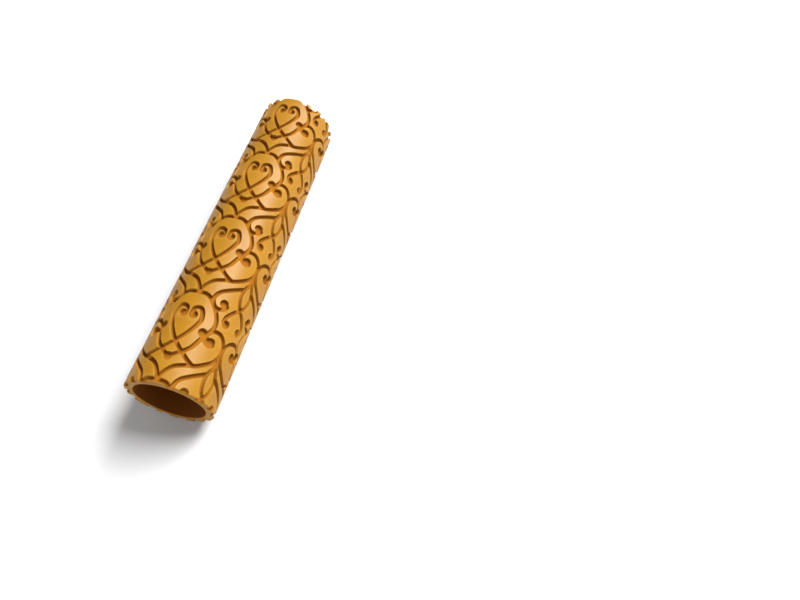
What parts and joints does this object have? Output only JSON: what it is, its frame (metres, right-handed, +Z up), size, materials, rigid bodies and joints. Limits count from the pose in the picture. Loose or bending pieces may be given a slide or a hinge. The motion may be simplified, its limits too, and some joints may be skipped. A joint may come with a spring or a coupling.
{
  "type": "textured pattern roller",
  "caption": "Hollow one-piece roller sleeve with a repeating scroll pattern sunk into its face, for printing texture into clay or plaster.",
  "frame": {"origin": "centre of the bore at half the roller's length", "axes": "+Y along the roller's axis, +Z up as it lies on a table, +X to the right"},
  "size_m": [0.035, 0.152, 0.035],
  "materials": {
    "sleeve": "satin orange moulded plastic"
  },
  "bodies": {
    "root": {"roller_sleeve": "sleeve"}
  },
  "joints": []
}
